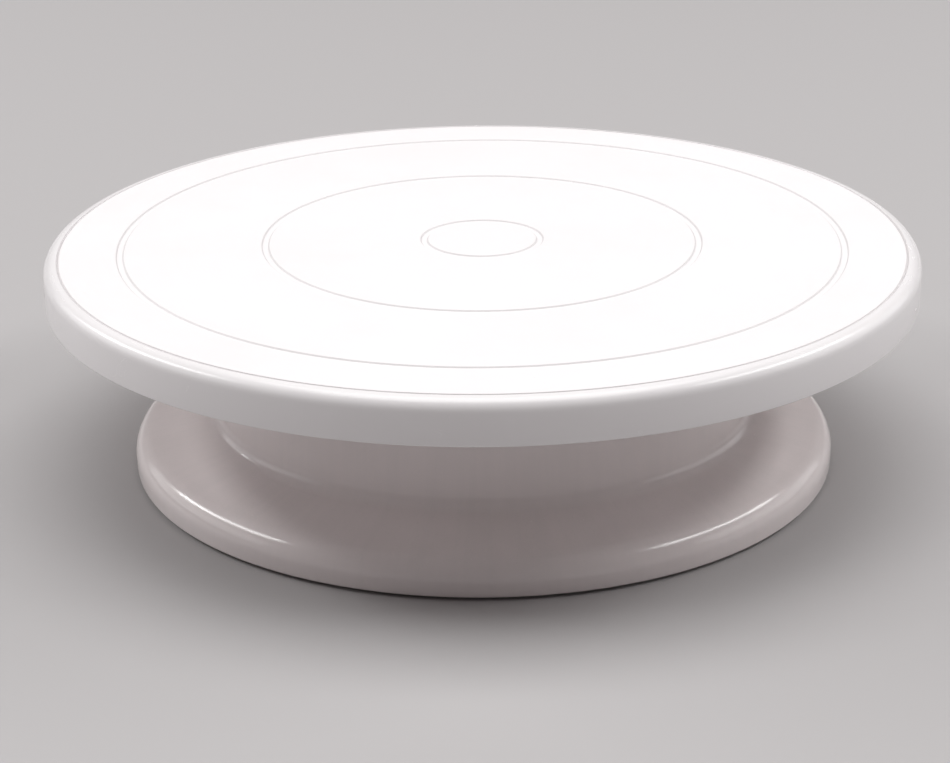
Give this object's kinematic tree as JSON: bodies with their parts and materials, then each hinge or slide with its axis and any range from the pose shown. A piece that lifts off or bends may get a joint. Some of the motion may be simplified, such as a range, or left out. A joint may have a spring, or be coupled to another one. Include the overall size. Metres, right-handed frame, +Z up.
{
  "type": "lazy susan turntable",
  "caption": "Round turntable for decorating cakes: a grooved flat plate with a turned-down rim, running on a ball ring on a hollow, flared pedestal.",
  "frame": {"origin": "on the table, under the middle of the pedestal", "axes": "+Z up along the axis that the plate turns about; X and Y across, with the first foot pad on +X"},
  "size_m": [0.28, 0.28, 0.073],
  "materials": {
    "pedestal_plastic": "glossy moulded white plastic, faintly warm",
    "plate_plastic": "satin moulded white plastic with a fine frosted texture on the working surface",
    "race_steel": "ground bright steel",
    "ball_steel": "polished steel",
    "fastener_steel": "zinc-plated steel",
    "bearing_plastic": "natural acetal, satin",
    "pad_rubber": "soft dark grey rubber"
  },
  "bodies": {
    "pedestal": {"pedestal_base": "pedestal_plastic", "lower_race": "race_steel", "pivot_bush": "bearing_plastic", "foot_pad_01": "pad_rubber", "foot_pad_02": "pad_rubber", "foot_pad_03": "pad_rubber", "foot_pad_04": "pad_rubber", "foot_pad_05": "pad_rubber", "foot_pad_06": "pad_rubber"},
    "plate": {"turntable_plate": "plate_plastic", "upper_race": "race_steel", "pivot_pin": "race_steel", "retaining_washer": "fastener_steel", "lock_washer": "fastener_steel", "retaining_screw": "fastener_steel"},
    "cage": {"ball_cage": "bearing_plastic"},
    "ball_01": {"ball_01": "ball_steel"},
    "ball_02": {"ball_02": "ball_steel"},
    "ball_03": {"ball_03": "ball_steel"},
    "ball_04": {"ball_04": "ball_steel"},
    "ball_05": {"ball_05": "ball_steel"},
    "ball_06": {"ball_06": "ball_steel"},
    "ball_07": {"ball_07": "ball_steel"},
    "ball_08": {"ball_08": "ball_steel"},
    "ball_09": {"ball_09": "ball_steel"},
    "ball_10": {"ball_10": "ball_steel"},
    "ball_11": {"ball_11": "ball_steel"},
    "ball_12": {"ball_12": "ball_steel"}
  },
  "joints": [
    {"name": "plate_spin", "type": "hinge", "parent": "pedestal", "child": "plate", "pos_m": [0, 0, 0.065], "axis": [0, 0, 1], "continuous": true},
    {"name": "cage_spin", "type": "hinge", "parent": "pedestal", "child": "cage", "pos_m": [0, 0, 0.065], "axis": [0, 0, 1], "continuous": true},
    {"name": "ball_01_roll", "type": "hinge", "parent": "cage", "child": "ball_01", "pos_m": [0.062, 0, 0.0651], "axis": [1, 0, 0], "continuous": true},
    {"name": "ball_02_roll", "type": "hinge", "parent": "cage", "child": "ball_02", "pos_m": [0.05369, 0.031, 0.0651], "axis": [0.866, 0.5, 0], "continuous": true},
    {"name": "ball_03_roll", "type": "hinge", "parent": "cage", "child": "ball_03", "pos_m": [0.031, 0.05369, 0.0651], "axis": [0.5, 0.866, 0], "continuous": true},
    {"name": "ball_04_roll", "type": "hinge", "parent": "cage", "child": "ball_04", "pos_m": [0, 0.062, 0.0651], "axis": [0, 1, 0], "continuous": true},
    {"name": "ball_05_roll", "type": "hinge", "parent": "cage", "child": "ball_05", "pos_m": [-0.031, 0.05369, 0.0651], "axis": [-0.5, 0.866, 0], "continuous": true},
    {"name": "ball_06_roll", "type": "hinge", "parent": "cage", "child": "ball_06", "pos_m": [-0.05369, 0.031, 0.0651], "axis": [-0.866, 0.5, 0], "continuous": true},
    {"name": "ball_07_roll", "type": "hinge", "parent": "cage", "child": "ball_07", "pos_m": [-0.062, 0, 0.0651], "axis": [-1, 0, 0], "continuous": true},
    {"name": "ball_08_roll", "type": "hinge", "parent": "cage", "child": "ball_08", "pos_m": [-0.05369, -0.031, 0.0651], "axis": [-0.866, -0.5, 0], "continuous": true},
    {"name": "ball_09_roll", "type": "hinge", "parent": "cage", "child": "ball_09", "pos_m": [-0.031, -0.05369, 0.0651], "axis": [-0.5, -0.866, 0], "continuous": true},
    {"name": "ball_10_roll", "type": "hinge", "parent": "cage", "child": "ball_10", "pos_m": [0, -0.062, 0.0651], "axis": [0, -1, 0], "continuous": true},
    {"name": "ball_11_roll", "type": "hinge", "parent": "cage", "child": "ball_11", "pos_m": [0.031, -0.05369, 0.0651], "axis": [0.5, -0.866, 0], "continuous": true},
    {"name": "ball_12_roll", "type": "hinge", "parent": "cage", "child": "ball_12", "pos_m": [0.05369, -0.031, 0.0651], "axis": [0.866, -0.5, 0], "continuous": true}
  ],
  "couplings": [
    {"joint": "cage_spin", "follows": "plate_spin", "ratio": 0.5},
    {"joint": "ball_01_roll", "follows": "plate_spin", "ratio": -7.75},
    {"joint": "ball_02_roll", "follows": "plate_spin", "ratio": -7.75},
    {"joint": "ball_03_roll", "follows": "plate_spin", "ratio": -7.75},
    {"joint": "ball_04_roll", "follows": "plate_spin", "ratio": -7.75},
    {"joint": "ball_05_roll", "follows": "plate_spin", "ratio": -7.75},
    {"joint": "ball_06_roll", "follows": "plate_spin", "ratio": -7.75},
    {"joint": "ball_07_roll", "follows": "plate_spin", "ratio": -7.75},
    {"joint": "ball_08_roll", "follows": "plate_spin", "ratio": -7.75},
    {"joint": "ball_09_roll", "follows": "plate_spin", "ratio": -7.75},
    {"joint": "ball_10_roll", "follows": "plate_spin", "ratio": -7.75},
    {"joint": "ball_11_roll", "follows": "plate_spin", "ratio": -7.75},
    {"joint": "ball_12_roll", "follows": "plate_spin", "ratio": -7.75}
  ]
}
